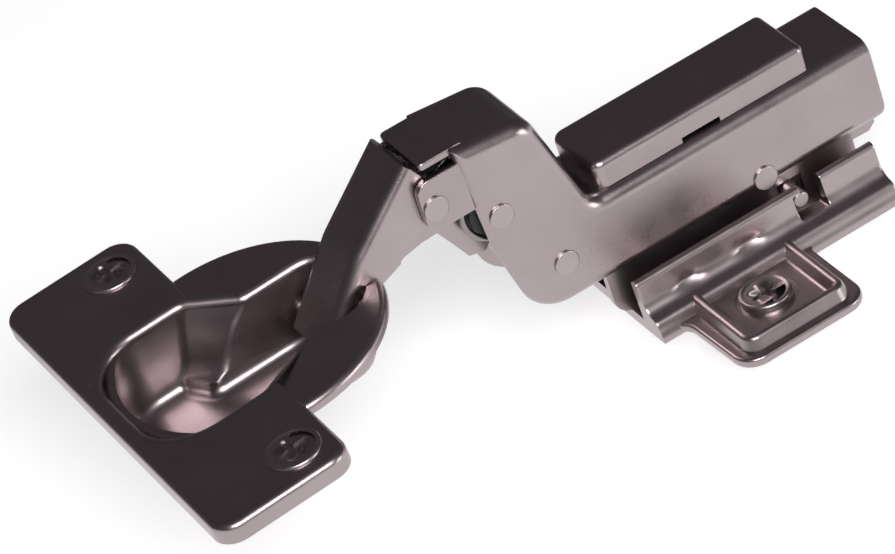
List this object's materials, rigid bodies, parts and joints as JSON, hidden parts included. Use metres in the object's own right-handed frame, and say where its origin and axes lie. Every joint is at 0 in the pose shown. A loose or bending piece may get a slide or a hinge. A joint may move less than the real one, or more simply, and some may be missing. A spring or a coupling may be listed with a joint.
{
  "type": "concealed cup hinge",
  "caption": "Soft-closing concealed cabinet hinge, shown open: T-shaped door cup, two links, cranked arm with cover cap, and clip-on plate with screw wings.",
  "frame": {"origin": "centre of the mounting plate's seating face, midway between its two screws", "axes": "+X along the arm away from the cup, +Y across the hinge along the line of the plate screws, +Z away from the surface the plate is screwed to"},
  "size_m": [0.1034, 0.0592, 0.0416],
  "materials": {
    "sheet": "black nickel plating, satin",
    "screws": "black nickel plating, satin",
    "pins": "black nickel plating, turned",
    "springs": "oiled spring wire",
    "plastic": "black moulded plastic"
  },
  "bodies": {
    "mounting_base": {"mounting_plate": "sheet", "plate_screws": "screws", "base_clip": "sheet", "latch_pivot_pin": "pins", "latch_spring": "springs"},
    "release_lever": {"release_latch": "sheet", "catch_pin": "pins"},
    "arm": {"hinge_arm": "sheet", "outer_link_pin": "pins", "inner_link_pin": "pins", "front_rivet": "pins", "rear_rivet": "pins", "damper_body": "plastic", "spring_sleeves": "plastic", "torsion_spring": "springs", "nose_buffer": "plastic"},
    "side_screw": {"side_adjust_screw": "screws"},
    "cam": {"depth_cam": "screws"},
    "cap": {"cover_cap": "sheet"},
    "damper_piston": {"damper_rod": "pins"},
    "front_link": {"outer_link": "sheet"},
    "cup": {"hinge_cup": "sheet", "cup_pin_outer": "pins", "cup_screws": "screws"},
    "rear_link": {"inner_link": "sheet", "cup_pin_inner": "pins"}
  },
  "joints": [
    {"name": "depth_adjust", "type": "slide", "parent": "mounting_base", "child": "arm", "axis": [1, 0, 0], "range_m": [-0.0015, 0.0015]},
    {"name": "depth_cam_turn", "type": "hinge", "parent": "arm", "child": "cam", "pos_m": [0.0135, 0, 0.0176], "axis": [0, 0, 1], "range_deg": [-90, 90]},
    {"name": "side_screw_turn", "type": "hinge", "parent": "arm", "child": "side_screw", "pos_m": [0.007, 0, 0.0176], "axis": [0, 0, 1], "range_deg": [-360, 360]},
    {"name": "cap_lift", "type": "slide", "parent": "arm", "child": "cap", "axis": [0, 0, 1], "range_m": [0, 0.0055]},
    {"name": "latch_pull", "type": "hinge", "parent": "mounting_base", "child": "release_lever", "pos_m": [0.0146, 0, 0.0102], "axis": [0, 1, 0], "range_deg": [-12, 0], "stiffness_Nm_per_rad": 0.02, "springref_deg": 11.46},
    {"name": "front_link_turn", "type": "hinge", "parent": "arm", "child": "front_link", "pos_m": [-0.0323, 0, 0.03], "axis": [0, 1, 0], "range_deg": [-19, 0]},
    {"name": "rear_link_turn", "type": "hinge", "parent": "arm", "child": "rear_link", "pos_m": [-0.0252, 0, 0.0248], "axis": [0, 1, 0], "range_deg": [-34.3, 0]},
    {"name": "door_swing", "type": "hinge", "parent": "front_link", "child": "cup", "pos_m": [-0.048, 0, 0.01827], "axis": [0, 1, 0], "range_deg": [0, 112.2]},
    {"name": "damper_stroke", "type": "slide", "parent": "arm", "child": "damper_piston", "axis": [1, 0, 0], "range_m": [0, 0.0039]}
  ],
  "couplings": [
    {"joint": "depth_cam_turn", "follows": "depth_adjust", "rad_per_m": 1047},
    {"joint": "front_link_turn", "follows": "door_swing", "ratio": -0.1673},
    {"joint": "rear_link_turn", "follows": "door_swing", "ratio": -0.3019},
    {"joint": "damper_stroke", "follows": "door_swing", "m_per_rad": 0.00194}
  ]
}
